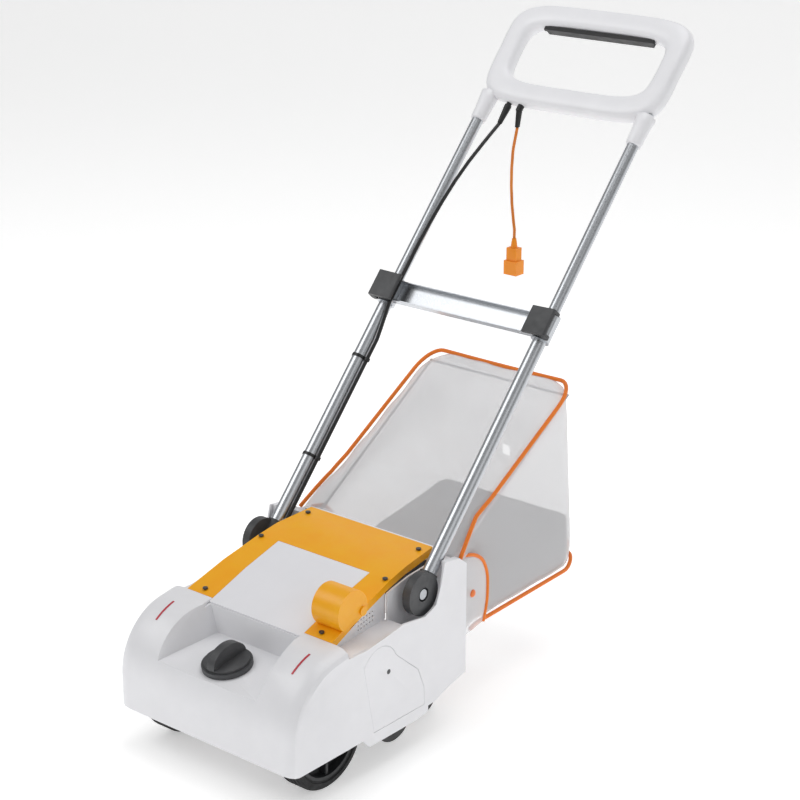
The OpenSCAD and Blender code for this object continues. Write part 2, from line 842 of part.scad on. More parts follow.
// Half of the grip moulding, hollow, split on the plane of the tubes
module grip_half(front) {
    y0 = front ? -grip_t / 2 : seam / 2;
    y1 = front ? -seam / 2 : grip_t / 2;
    inner0 = front ? y0 + wall : y0 - 1;
    inner1 = front ? y1 + 1 : y1 - wall;
    difference() {
        translate([0, y1, 0]) rotate([90, 0, 0]) linear_extrude(y1 - y0) grip_outline(0);
        difference() {
            translate([0, inner1, 0]) rotate([90, 0, 0]) linear_extrude(inner1 - inner0) grip_outline(-wall);
            for (side = [-1, 1]) translate([side * tube_x, 0, grip_at + 34]) rotate([90, 0, 0])
                cylinder(h = 60, r = 6, center = true);
        }
        for (side = [-1, 1]) {
            translate([side * tube_x, 0, sleeve_at - 1]) cylinder(h = 80, r = inner_tube_r + 0.02);
            translate([side * tube_x, 0, grip_at + 34]) rotate([90, 0, 0]) cylinder(h = 60, r = 2.05, center = true);
        }
        for (x = [-109, -84]) translate([x, 0, grip_at - 2]) cylinder(h = 8, r = 5.7);
        for (side = [-1, 1]) translate([side * tube_x, grip_t / 2 + 1, grip_at + 34]) rotate([90, 0, 0])
            cylinder(h = 2.6, r = 4.2);
        lever_slot();
    }
}

module lever_slot() {
    translate([-113, -9, grip_top - 41]) cube([226, 21, 9]);
}

module grip_front_shell() {
    color("white") on_handle() grip_half(true);
}

module grip_rear_shell() {
    color("white") on_handle() grip_half(false);
}

module grip_screws() {
    color("dimgray") on_handle() for (side = [-1, 1])
        translate([side * tube_x, grip_t / 2 - 0.5, grip_at + 34]) rotate([90, 0, 0]) {
            cylinder(h = grip_t - 4, r = 2);
            translate([0, 0, -0.4]) cylinder(h = 1.3, r = 4);
        }
}

module switch_box() {
    color("black") on_handle() translate([-24, -10, grip_top - 31]) cube([48, 20, 18]);
}

// Bail under the top bar, hinged along its front edge
module switch_lever() {
    color("dimgray") on_handle() {
        translate([-104, -7, grip_top - 50]) cube([208, 14, 8]);
        for (side = [-1, 1]) translate([side * 104 - 4, -7, grip_top - 50]) cube([8, 5, 16]);
        translate([-108, -5.5, grip_top - 36]) rotate([0, 90, 0]) cylinder(h = 216, r = 2);
    }
}

// Tapered reliefs where the two cables leave the grip moulding
module cord_guards() {
    color("black") {
        on_handle() translate([-109, 0, grip_at + 2]) rotate([180, 0, 0]) guard(41);
        on_handle() translate([-84, 0, grip_at - 12]) cylinder(h = 14, r = 5.6);
        hull() {
            on_handle() translate([-84, 0, grip_at - 10]) cylinder(h = 2, r = 5.2, $fn = 32);
            place() translate(lead_path[0] + [0, 0, 0.6]) cylinder(h = 1, r = 4, $fn = 32);
        }
    }
}

module guard(h) {
    rotate_extrude($fn = 24) polygon([[3.1, 0], [4.5, 0], [4.5, 7], [6, 7], [6, 11], [4, h], [3.1, h]]);
}

module upper_cable() {
    color("black") on_handle() swept_tube([for (p = upper_cable_path) [p[0], -p[1], p[2]]], cable_d);
}

module lower_cable() {
    color("black") on_handle() swept_tube([for (p = lower_cable_path) [p[0], -p[1], p[2]]], cable_d);
}

// Clips that hold the cable against the left lower tube
module cable_clips() {
    color("dimgray") on_handle() for (s = clip_at) translate([-tube_x, 0, s]) difference() {
        union() {
            cylinder(h = clip_h, r = tube_r + 1.2);
            translate([tube_x - 138.5, 2, 0]) cylinder(h = clip_h, r = cable_d / 2 + 1.8);
        }
        translate([0, 0, -1]) cylinder(h = clip_h + 2, r = tube_r + 0.02);
        translate([tube_x - 138.5, 2, -1]) cylinder(h = clip_h + 2, r = cable_d / 2 + 0.6);
    }
}

module power_lead() {
    color("darkorange") place() swept_tube(lead_path, lead_d);
}

// Moulded two-pin plug on the short lead
module lead_connector() {
    end = lead_path[len(lead_path) - 1];
    color("orange") place() translate(end) {
        translate([0, 0, -16]) cylinder(h = 16, r1 = 6, r2 = 3.6);
        translate([-10, -8, -38 - e]) cube([20, 16, 22 + 2 * e]);
        difference() {
            translate([-13, -11, -62]) cube([26, 22, 24]);
            translate([-10, -8, -63]) cube([20, 16, 15]);
        }
        for (x = [-6.5, 5]) translate([x, -3, -60]) cube([1.5, 6, 13]);
    }
}

// ---------------------------------------------------------------- grass bag

// The bag: its outline in the middle, drawn out to a wider mouth at the front
module bag_solid(grow) {
    hull() {
        across(-bag_x - grow, bag_x + grow) polygon([
            [bag_front + 60, bag_floor - grow], [bag_rear - 12, bag_floor + 12 - grow], [bag_rear + grow, 165],
            [bag_rear - 14 + grow, bag_top - 8], [bag_rear - 28, bag_top + grow], [bag_front + 60, 305 + grow]]);
        across(-mouth_x - grow, mouth_x + grow) polygon([
            [bag_front - grow, bag_floor - grow], [bag_front + 2, bag_floor - grow],
            [bag_front + 2, 262 + grow], [bag_front - grow, 262 + grow]]);
    }
}

module bag_shell() {
    color("gainsboro", 0.5) place() difference() {
        bag_solid(0);
        bag_solid(-sheet);
        translate([-mouth_x + 20, bag_front - 5, mouth_z + 14]) cube([2 * mouth_x - 40, 10, 122]);
    }
}

// Bound edges: one length round the top sheet, one along each lower side edge
module bag_piping() {
    out = 0.73 * piping_r + 0.15;
    front = [mouth_x + out, bag_front + 4, 262 + out + 1.5];
    back = [bag_x + out, bag_rear - 28 - out, bag_top - 6 + out];
    corner = [bag_x - 9, bag_rear - 26 + out, bag_top + out - 0.4];
    top = [front, back, corner];
    low = [[mouth_x + out, bag_front + 4, bag_floor - out], [bag_x + out, bag_rear - 12, bag_floor + 11 - out],
           [bag_x + out, bag_rear + out - 3, 148], [bag_x + out, bag_rear + out, 172]];
    color("darkorange") place() {
        difference() {
            union() {
                swept_tube(concat(top, [for (i = [2:-1:0]) [-top[i][0], top[i][1], top[i][2]]]),
                    2 * piping_r, 8, [0, -0.5, 0.85]);
                both_sides() swept_tube(low, 2 * piping_r);
            }
            bag_solid(0.05);
        }
    }
}

// Wire frame inside the bag: a bent wire at each side and a rod between their tops
module bag_frame() {
    x = bag_x - 9;
    bend = [[x, bag_front + 16, bag_floor + 30], [x, bag_front + 16, 235], [x, bag_front + 22, 254],
            [x, bag_rear - 36, bag_top - 18]];
    color("silver") place() {
        both_sides() swept_tube(bend, 4);
        rod_x(-x + 2.1, x - 2.1, bag_rear - 38, bag_top - 19, 2);
    }
}

// Stiff tray that forms the floor of the bag
module bag_base() {
    color("dimgray") place() intersection() {
        difference() {
            bag_solid(-sheet - 1);
            bag_solid(-sheet - 4);
        }
        across(-mouth_x, mouth_x) polygon([[bag_front + 40, bag_floor], [bag_rear, bag_floor], [bag_rear, 205],
            [bag_rear - 140, 190], [bag_front + 40, bag_floor + 20]]);
    }
}

module snap_buttons() {
    color("orangered") place() both_sides() rod_x(bag_x + 8, bag_x + 12, bag_front + 34, 195, 6);
}

// ---------------------------------------------------------------- nodes

deck_shell();
motor_cover();
top_panel();
belt_cover();
cover_screws();
edge_marks();
left_side_frame();
right_side_frame();
tie_rods();
bed_knife_bar();
bed_knife();
reel_bearings();
motor();
drive_belt();
roller_shaft();
hinge_bolts();
reel_shaft();
reel_discs();
reel_blades();
reel_pulley();
motor_shaft();
motor_pulley();
roller_drum();
axle_arm();
wheel_axle();
left_wheel_rim();
left_tyre();
right_wheel_rim();
right_tyre();
height_dial();
height_cam();
left_hinge_plate();
right_hinge_plate();
left_lower_tube();
right_lower_tube();
crossbar();
left_clamp();
right_clamp();
lower_cable();
cable_clips();
left_clamp_lever();
right_clamp_lever();
left_upper_tube();
right_upper_tube();
grip_front_shell();
grip_rear_shell();
grip_screws();
switch_box();
cord_guards();
upper_cable();
power_lead();
lead_connector();
switch_lever();
bag_shell();
bag_frame();
bag_piping();
bag_base();
snap_buttons();
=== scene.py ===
"""The looks of an electric reel mower with a rear grass bag and a folding handle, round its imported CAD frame.

Metres, +Z up, and the front faces -Y. Every new piece is worked out as a surface, in place in its mesh.
"""
import json
import math

import bmesh
import bpy
import numpy as np
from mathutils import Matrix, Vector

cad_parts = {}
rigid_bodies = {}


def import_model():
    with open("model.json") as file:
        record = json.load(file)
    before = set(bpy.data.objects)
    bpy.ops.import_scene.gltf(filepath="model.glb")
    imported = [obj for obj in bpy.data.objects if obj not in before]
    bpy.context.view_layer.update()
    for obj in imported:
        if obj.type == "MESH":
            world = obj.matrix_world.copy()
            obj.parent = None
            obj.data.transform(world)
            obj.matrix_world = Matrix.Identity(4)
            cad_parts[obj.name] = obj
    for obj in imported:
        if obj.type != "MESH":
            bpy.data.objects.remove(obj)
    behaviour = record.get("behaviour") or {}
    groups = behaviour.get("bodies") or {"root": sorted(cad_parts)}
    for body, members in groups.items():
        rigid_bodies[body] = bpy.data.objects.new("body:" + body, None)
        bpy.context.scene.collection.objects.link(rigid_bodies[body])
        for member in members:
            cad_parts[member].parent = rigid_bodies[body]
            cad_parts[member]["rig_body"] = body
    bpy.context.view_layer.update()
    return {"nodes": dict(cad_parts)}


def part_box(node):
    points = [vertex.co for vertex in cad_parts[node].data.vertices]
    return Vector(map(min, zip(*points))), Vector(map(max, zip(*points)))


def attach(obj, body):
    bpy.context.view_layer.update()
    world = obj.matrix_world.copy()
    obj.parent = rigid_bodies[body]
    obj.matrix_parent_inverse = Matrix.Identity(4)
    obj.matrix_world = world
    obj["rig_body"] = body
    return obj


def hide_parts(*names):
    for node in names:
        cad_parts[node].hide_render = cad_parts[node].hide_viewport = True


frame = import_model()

cad = frame["nodes"]

# Where the deck's front face lies, and how the handle leans
deck_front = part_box("deck_shell")[0].y
lean = math.radians(48)
handle_up = np.array([0, math.cos(lean), math.sin(lean)])
handle_back = np.array([0, math.sin(lean), -math.cos(lean)])
fold_bolt = np.array([0, deck_front + 0.295, 0.240]) + 0.009 * handle_back
# How far each tube is from the middle, and how far up from the fold bolt the grip's sleeves start
tube_x = 0.154
sleeve_foot = 0.786


def on_handle(x, back, up):
    """A point of the handle: across it, behind the tubes' plane, and up from the fold bolt."""
    return np.array([x, 0, 0]) + fold_bolt + back * handle_back + up * handle_up


# ---------------------------------------------------------------- camera

def set_camera():
    """A long lens, looking down on the front right corner."""
    camera = bpy.data.objects.new("camera", bpy.data.cameras.new("camera"))
    camera.data.sensor_width = 36
    camera.data.lens = 92.88
    camera.data.clip_start = 0.05
    camera.location = (1.9151, deck_front - 1.8478, 1.5223)
    camera.rotation_euler = (math.radians(70.5), 0, math.radians(39.9))
    bpy.context.scene.collection.objects.link(camera)
    bpy.context.scene.camera = camera


# ---------------------------------------------------------------- surfaces

def link(name, mesh):
    piece = bpy.data.objects.new(name, mesh)
    bpy.context.scene.collection.objects.link(piece)
    return piece


def surface(name, grid, round_u=False, round_v=False, caps=False, flip=False):
    """A grid of points, rows by columns, as quads. round_u joins the last row to the first and round_v the
    last column to the first, and caps closes the first and last rows. flip turns the faces over. Its UV map
    is in metres along rows and columns."""
    rows, columns = grid.shape[:2]
    index = np.arange(rows * columns).reshape(rows, columns)
    if round_u:
        index = np.vstack([index, index[:1]])
    if round_v:
        index = np.hstack([index, index[:, :1]])
    quads = np.stack([index[:-1, :-1], index[:-1, 1:], index[1:, 1:], index[1:, :-1]], -1).reshape(-1, 4)
    faces = quads.tolist()
    if caps:
        faces += [index[0, :columns][::-1].tolist(), index[-1, :columns].tolist()]
    mesh = bpy.data.meshes.new(name)
    mesh.from_pydata(grid.reshape(-1, 3).tolist(), [], faces)
    closed = np.concatenate([grid, grid[:, :1]], 1) if round_v else grid
    closed = np.concatenate([closed, closed[:1]], 0) if round_u else closed
    along_u = np.linalg.norm(np.diff(closed, axis=0), axis=-1).mean(1)
    along_v = np.linalg.norm(np.diff(closed, axis=1), axis=-1).mean(0)
    u = np.concatenate([[0], np.cumsum(along_u)])
    v = np.concatenate([[0], np.cumsum(along_v)])
    cell_u, cell_v = np.meshgrid(np.arange(index.shape[0] - 1), np.arange(index.shape[1] - 1), indexing="ij")
    corner_u = np.stack([cell_u, cell_u, cell_u + 1, cell_u + 1], -1).reshape(-1)
    corner_v = np.stack([cell_v, cell_v + 1, cell_v + 1, cell_v], -1).reshape(-1)
    uv = np.zeros((len(mesh.loops), 2))
    uv[:len(corner_u)] = np.stack([u[corner_u], v[corner_v]], -1)
    mesh.uv_layers.new(name="UVMap").data.foreach_set("uv", uv.reshape(-1))
    mesh.polygons.foreach_set("use_smooth", [True] * len(mesh.polygons))
    if flip:
        mesh.flip_normals()
    mesh.update()
    return link(name, mesh)


def smooth_line(points, steps):
    """A curve through the points in cubic stretches: its slope at a point is half the step between the points
    on either side."""
    p = np.asarray(points, float)
    q = np.concatenate([[2 * p[0] - p[1]], p, [2 * p[-1] - p[-2]]])
    t = np.linspace(0, 1, steps, endpoint=False)[None, :, None]
    a, b, c, d = (q[i:len(q) - 3 + i][:, None] for i in range(4))
    curve = 0.5 * (2 * b + (c - a) * t + (2 * a - 5 * b + 4 * c - d) * t ** 2
                   + (3 * b - a - 3 * c + d) * t ** 3)
    return np.concatenate([curve.reshape(-1, p.shape[1]), p[-1:]])


def unit(v):
    return v / np.linalg.norm(v, axis=-1, keepdims=True)


def tube(name, path, radius, sides=12, up=(1, 0, 0), caps=True):
    """A round tube: a circle at each point of the path and square to it. Its radius may change along it."""
    path = np.asarray(path, float)
    slope = unit(np.gradient(path, axis=0))
    side = unit(np.cross(slope, np.asarray(up, float)))
    other = np.cross(slope, side)
    turn = np.linspace(0, 2 * math.pi, sides, endpoint=False)[None, :, None]
    r = np.broadcast_to(radius, len(path))[:, None, None]
    grid = path[:, None] + r * (np.cos(turn) * side[:, None] + np.sin(turn) * other[:, None])
    return surface(name, grid, round_v=True, caps=caps)


def lathe(name, profile, centre, axis, across, sides=48):
    """A turned piece: the profile's (radius, height) points carried round the axis through the centre."""
    profile, axis, across = (np.asarray(v, float) for v in (profile, axis, across))
    other = np.cross(axis, across)
    turn = np.linspace(0, 2 * math.pi, sides, endpoint=False)[None, :, None]
    grid = (np.asarray(centre) + profile[:, None, :1] * (np.cos(turn) * across + np.sin(turn) * other)
            + profile[:, None, 1:] * axis)
    return surface(name, grid, round_v=True, caps=True)


def soften(node, width, segments=2):
    """A copy of a CAD node: doubles merged, flat faces joined, and edges rounded to the width."""
    mesh = cad[node].data.copy()
    work = bmesh.new()
    work.from_mesh(mesh)
    bmesh.ops.remove_doubles(work, verts=work.verts, dist=2e-6)
    bmesh.ops.dissolve_limit(work, angle_limit=math.radians(0.6), verts=work.verts, edges=work.edges)
    work.to_mesh(mesh)
    work.free()
    mesh.polygons.foreach_set("use_smooth", [True] * len(mesh.polygons))
    mesh.set_sharp_from_angle(angle=math.radians(35))
    piece = link(node + "_soft", mesh)
    bevel = piece.modifiers.new("edges", "BEVEL")
    bevel.width = width
    bevel.segments = segments
    bevel.limit_method = "ANGLE"
    bevel.angle_limit = math.radians(32)
    bevel.harden_normals = True
    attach(piece, cad[node]["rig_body"])
    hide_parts(node)
    return piece


# ---------------------------------------------------------------- materials

def linear(hex_code):
    """sRGB hex to linear RGBA."""
    srgb = np.array([int(hex_code[i:i + 2], 16) for i in (1, 3, 5)]) / 255
    value = np.where(srgb <= 0.04045, srgb / 12.92, ((srgb + 0.055) / 1.055) ** 2.4)
    return (*value.tolist(), 1)


def add(tree, kind, inputs=None, **settings):
    """One shader node with its settings. An input is a value, or another node's output to link."""
    node = tree.nodes.new("ShaderNode" + kind)
    for name, value in settings.items():
        setattr(node, name, value)
    for name, value in (inputs or {}).items():
        if isinstance(value, bpy.types.NodeSocket):
            tree.links.new(value, node.inputs[name])
        else:
            node.inputs[name].default_value = value
    return node


def finish_of(name, **sockets):
    """A new material with one Principled shader, and the position that its patterns are laid out on."""
    material = bpy.data.materials.new(name)
    material.use_nodes = True
    tree = material.node_tree
    shader = tree.nodes["Principled BSDF"]
    for key, value in sockets.items():
        shader.inputs[key.replace("_", " ")].default_value = value
    return material, tree, shader, add(tree, "TexCoord")


def grain(tree, shader, place, size, depth, detail=3):
    """Moulded grain: noise of that size in metres, raised to that depth."""
    noise = add(tree, "TexNoise", {"Vector": place, "Scale": 1 / size, "Detail": detail, "Roughness": 0.55})
    bump = add(tree, "Bump", {"Height": noise.outputs[0], "Strength": 0.6, "Distance": depth})
    tree.links.new(bump.outputs[0], shader.inputs["Normal"])
    return noise


def mottle(tree, shader, place, size, low, high, socket="Base Color"):
    """Slow change of colour or of a number between low and high, over that size in metres."""
    noise = add(tree, "TexNoise", {"Vector": place, "Scale": 1 / size, "Detail": 4.0, "Roughness": 0.6})
    ramp = add(tree, "ValToRGB", {"Fac": noise.outputs[0]})
    ramp.color_ramp.elements[0].position, ramp.color_ramp.elements[1].position = 0.35, 0.65
    ramp.color_ramp.elements[0].color, ramp.color_ramp.elements[1].color = low, high
    tree.links.new(ramp.outputs[0], shader.inputs[socket])
    return ramp


def grey(value):
    return (value, value, value, 1)


def moulded(name, hex_low, hex_high, rough_low, rough_high, grain_size=0.0012, depth=0.00004, ior=1.54):
    """Injection-moulded plastic: a spark-eroded grain, drawn coarse enough to show, over a slow mottle."""
    material, tree, shader, at = finish_of(name, IOR=ior)
    mottle(tree, shader, at.outputs["Object"], 0.05, linear(hex_low), linear(hex_high))
    mottle(tree, shader, at.outputs["Object"], 0.012, grey(rough_low), grey(rough_high), "Roughness")
    grain(tree, shader, at.outputs["Object"], grain_size, depth)
    return material


def drawn_metal(name, hex_code, rough_low, rough_high, stretch, depth=0.00002):
    """Drawn or rolled metal: hairlines along the way that it was drawn, from noise stretched that way."""
    material, tree, shader, at = finish_of(name, Metallic=1.0, Base_Color=linear(hex_code))
    squeeze = add(tree, "Mapping", {"Vector": at.outputs["Object"], "Rotation": (lean, 0, 0),
                                    "Scale": stretch})
    mottle(tree, shader, squeeze.outputs[0], 0.0015, grey(rough_low), grey(rough_high), "Roughness")
    grain(tree, shader, squeeze.outputs[0], 0.0012, depth, 2)
    return material


def woven(name, hex_thread, hex_gap, thread, rough, alpha=1.0):
    """Plain weave on the piece's own UV map in metres: two sets of threads as crossed waves."""
    material, tree, shader, at = finish_of(name, Roughness=rough, Alpha=alpha, IOR=1.5, Sheen_Weight=0.2)
    waves = []
    for direction in ("X", "Y"):
        waves.append(add(tree, "TexWave",
                         {"Vector": at.outputs["UV"], "Scale": 0.314 / thread, "Distortion": 0.0},
                         wave_type="BANDS", bands_direction=direction))
    cross = add(tree, "Math", {0: waves[0].outputs["Fac"], 1: waves[1].outputs["Fac"]}, operation="MAXIMUM")
    ramp = add(tree, "ValToRGB", {"Fac": cross.outputs[0]})
    ramp.color_ramp.elements[0].color, ramp.color_ramp.elements[1].color = linear(hex_gap), linear(hex_thread)
    tree.links.new(ramp.outputs[0], shader.inputs["Base Color"])
    bump = add(tree, "Bump", {"Height": cross.outputs[0], "Strength": 0.5, "Distance": thread * 0.25})
    tree.links.new(bump.outputs[0], shader.inputs["Normal"])
    return material


# White ABS, moulded: even, with a soft satin sheen
white_abs = moulded("white_abs", "#EDEDF0", "#F0F0F3", 0.30, 0.35)
# White ABS plate with a coarser grain, so that it looks flatter than the covers
grained_white_abs = moulded("grained_white_abs", "#EEEEF2", "#F0F0F4", 0.46, 0.54, 0.0016, 0.00007)
# Amber ABS, moulded, coloured through
amber_abs = moulded("amber_abs", "#FFAE00", "#FFB60A", 0.30, 0.40)
# Glass-filled nylon, charcoal: dull, with a visible grain
charcoal_nylon = moulded("charcoal_nylon", "#3C3D3F", "#47484A", 0.42, 0.58, 0.0016, 0.00009)
# Black ABS for the switch bar, clips and pulleys
black_abs = moulded("black_abs", "#141415", "#1D1D1F", 0.34, 0.50)
# Polypropylene tray, near black
tray_polypropylene = moulded("tray_polypropylene", "#17181A", "#222426", 0.45, 0.6, 0.002, 0.0001)
# Soft PVC sheath of the black cable
black_pvc = moulded("black_pvc", "#0B0B0C", "#141415", 0.38, 0.5, 0.0008, 0.00003)
# Soft PVC sheath of the orange lead
orange_pvc = moulded("orange_pvc", "#D9761A", "#E58523", 0.36, 0.46, 0.0008, 0.00003)
# Moulded PVC plug
orange_plug = moulded("orange_plug", "#FF9400", "#FFA010", 0.34, 0.44)
# Ribbed tyre rubber, dull black
tyre_rubber = moulded("tyre_rubber", "#1B1B1C", "#2B2B2C", 0.68, 0.85, 0.0022, 0.00016, 1.52)
# Nylon rim and roller
dark_nylon = moulded("dark_nylon", "#242527", "#303133", 0.45, 0.6)
# Crimson inlay film
crimson_film = moulded("crimson_film", "#B92B3C", "#C93A49", 0.3, 0.4)
# Orange acetal press button
orange_acetal = moulded("orange_acetal", "#F0702A", "#F57E33", 0.28, 0.36)
# Grey powder coat on pressed steel
powder_coat = moulded("powder_coat", "#5C6064", "#676B6F", 0.5, 0.62, 0.0014, 0.00012)
# Satin anodised aluminium tube, drawn along the handle
satin_anodised = drawn_metal("satin_anodised", "#C9CCD0", 0.26, 0.36, (1, 1, 0.04))
# Zinc-plated steel
zinc_steel = drawn_metal("zinc_steel", "#B9BCC0", 0.3, 0.44, (0.3, 1, 1))
# Ground blade steel, hairlines across the edge
blade_steel = drawn_metal("blade_steel", "#A3A7AB", 0.2, 0.34, (0.08, 1, 1))
# Coated see-through bag cloth: a fine weave under a thin clear coat
bag_film = woven("bag_film", "#FBFBFD", "#F3F3F6", 0.0016, 0.34, 0.6)
# Woven orange binding tape, folded over a cord
binding_tape = woven("binding_tape", "#FF8A14", "#F0660C", 0.0011, 0.6)

node_finish = {
    "deck_shell": white_abs, "belt_cover": white_abs, "top_panel": grained_white_abs,
    "motor_cover": amber_abs, "cover_screws": charcoal_nylon, "grip_screws": charcoal_nylon,
    "edge_marks": crimson_film, "left_side_frame": powder_coat, "right_side_frame": powder_coat,
    "bed_knife_bar": powder_coat, "axle_arm": powder_coat, "tie_rods": zinc_steel,
    "reel_bearings": zinc_steel, "roller_shaft": zinc_steel, "hinge_bolts": zinc_steel,
    "reel_shaft": zinc_steel, "motor_shaft": zinc_steel, "wheel_axle": zinc_steel, "height_cam": zinc_steel,
    "bag_frame": zinc_steel, "bed_knife": blade_steel, "reel_blades": blade_steel,
    "reel_discs": powder_coat, "motor": black_abs, "drive_belt": tyre_rubber, "reel_pulley": black_abs,
    "motor_pulley": black_abs, "cable_clips": black_abs, "switch_box": black_abs, "switch_lever": black_abs,
    "lower_cable": black_pvc, "upper_cable": black_pvc, "cord_guards": black_pvc, "roller_drum": dark_nylon,
    "left_wheel_rim": dark_nylon, "right_wheel_rim": dark_nylon, "left_tyre": tyre_rubber,
    "right_tyre": tyre_rubber, "height_dial": charcoal_nylon, "left_hinge_plate": charcoal_nylon,
    "right_hinge_plate": charcoal_nylon, "left_clamp_lever": charcoal_nylon,
    "right_clamp_lever": charcoal_nylon, "left_lower_tube": satin_anodised,
    "right_lower_tube": satin_anodised, "left_upper_tube": satin_anodised,
    "right_upper_tube": satin_anodised, "crossbar": satin_anodised, "left_clamp": satin_anodised,
    "right_clamp": satin_anodised, "power_lead": orange_pvc, "lead_connector": orange_plug,
    "bag_shell": white_abs, "bag_piping": binding_tape, "bag_base": tray_polypropylene,
    "snap_buttons": orange_acetal, "grip_front_shell": white_abs, "grip_rear_shell": white_abs,
}


def paint(piece, material):
    piece.data.materials.clear()
    piece.data.materials.append(material)
    return piece


def finish_nodes():
    """Every CAD node that stays gets its finish, and the moulded ones get a copy with rounded edges."""
    for name, node in cad.items():
        paint(node, node_finish[name])
    rounded = {"deck_shell": 0.0016, "motor_cover": 0.0014, "top_panel": 0.0006, "belt_cover": 0.0012,
               "height_dial": 0.0016, "left_hinge_plate": 0.0018, "right_hinge_plate": 0.0018,
               "switch_lever": 0.0015, "crossbar": 0.0006, "left_clamp": 0.0008, "right_clamp": 0.0008,
               "left_clamp_lever": 0.0012, "right_clamp_lever": 0.0012, "left_wheel_rim": 0.0006,
               "right_wheel_rim": 0.0006, "left_tyre": 0.001, "right_tyre": 0.001, "axle_arm": 0.0008,
               "left_side_frame": 0.0005, "right_side_frame": 0.0005, "roller_drum": 0.001}
    for name, width in rounded.items():
        paint(soften(name, width), node_finish[name])


# ---------------------------------------------------------------- power lead

lead_route = np.array([
    [-0.085, 0.845, 0.812], [-0.086, 0.843, 0.800], [-0.088, 0.842, 0.787], [-0.090, 0.841, 0.772],
    [-0.091, 0.841, 0.757], [-0.092, 0.841, 0.742], [-0.092, 0.841, 0.727], [-0.092, 0.841, 0.712],
    [-0.091, 0.841, 0.697], [-0.090, 0.841, 0.682], [-0.088, 0.841, 0.667], [-0.086, 0.841, 0.652],
    [-0.084, 0.841, 0.640], [-0.084, 0.841, 0.632], [-0.084, 0.841, 0.625]])


def power_lead():
    """The short orange lead, a round sheath along its route, and its moulded plug."""
    path = smooth_line(lead_route + [0, deck_front, 0], 6)
    lead = paint(tube("power_lead_sheath", path, 0.0025, 12), orange_pvc)
    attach(lead, "upper_handle")
    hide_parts("power_lead")
    plug = paint(soften("lead_connector", 0.0016, 3), orange_plug)


# ---------------------------------------------------------------- grip

def grip_moulding():
    """The closed handle grip: a fat rounded-square section carried round a rounded rectangle that is a little
    narrower at its foot, and a tapered sleeve down each tube."""
    half_width, half_height, middle = 0.1585, 0.0768, 0.9205
    half_depth = 0.0155
    turn = np.linspace(0, 2 * math.pi, 192, endpoint=False)
    squareness = 1 / (np.abs(np.cos(turn)) ** 5 + np.abs(np.sin(turn)) ** 5) ** 0.2
    across, along = squareness * np.cos(turn), squareness * np.sin(turn)
    ring = np.linspace(0, 2 * math.pi, 24, endpoint=False)
    fullness = 1 / (np.abs(np.cos(ring)) ** 3 + np.abs(np.sin(ring)) ** 3) ** (1 / 3)
    wide, deep = fullness * np.cos(ring), fullness * np.sin(ring)
    half_band = 0.0185 + 0.0015 * np.abs(along)
    x = across[:, None] * ((half_width - 0.002 * (1 - along))[:, None] + half_band[:, None] * wide)
    s = middle + along[:, None] * (half_height + half_band[:, None] * wide)
    back = half_depth * deep[None] * np.ones_like(x)
    grid = (fold_bolt + x[..., None] * np.array([1, 0, 0]) + back[..., None] * handle_back
            + s[..., None] * handle_up)
    moulding = paint(surface("grip_moulding", grid, round_u=True, round_v=True), white_abs)
    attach(moulding, "upper_handle")
    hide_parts("grip_front_shell", "grip_rear_shell")
    taper = [(0.0102, 0.0), (0.0122, 0.0), (0.0130, 0.002), (0.0136, 0.020), (0.0150, 0.040), (0.0160, 0.052),
             (0.0102, 0.056)]
    for side in (-1, 1):
        sleeve = lathe("grip_sleeve", taper, on_handle(side * tube_x, 0, sleeve_foot), handle_up, (1, 0, 0))
        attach(paint(sleeve, white_abs), "upper_handle")
        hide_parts("grip_front_shell", "grip_rear_shell")


# ---------------------------------------------------------------- grass bag

# Where the bag starts behind the deck's front face, and its piping's radius
bag_front = 0.3885
piping_radius = 0.0033
# The share of the way to the rear from which the bag's corners round in, and how far they do
rounding_from = 0.86
corner_round = 0.028


def bag_sections():
    """The bag's loft: each section's share of the way from the mouth to the rear, its top and bottom points
    behind the deck's front face, and its half width."""
    share = np.concatenate([np.linspace(0, rounding_from, 44),
                            rounding_from + 0.14 * np.sin(np.linspace(0, math.pi / 2, 9)[1:])])
    top_y = np.interp(share, [0, 0.18, 1], [bag_front, 0.4475, 0.6990])
    top_z = (np.interp(share, [0, 0.18, 1], [0.262, 0.305, 0.455])
             + 0.004 * np.sin(np.pi * np.clip(share / 0.3, 0, 1)))
    low_y = np.interp(share, [0, 1], [bag_front, 0.7260])
    low_z = np.interp(share, [0, 0.9, 1], [0.129, 0.139, 0.152])
    half = np.interp(share, [0, 0.18, 1], [0.164, 0.148, 0.148])
    round_in = np.clip((share - rounding_from) / 0.14, 0, 1)
    half = half - corner_round * (1 - np.sqrt(1 - round_in ** 2))
    return share, np.stack([top_y, top_z], -1), np.stack([low_y, low_z], -1), half


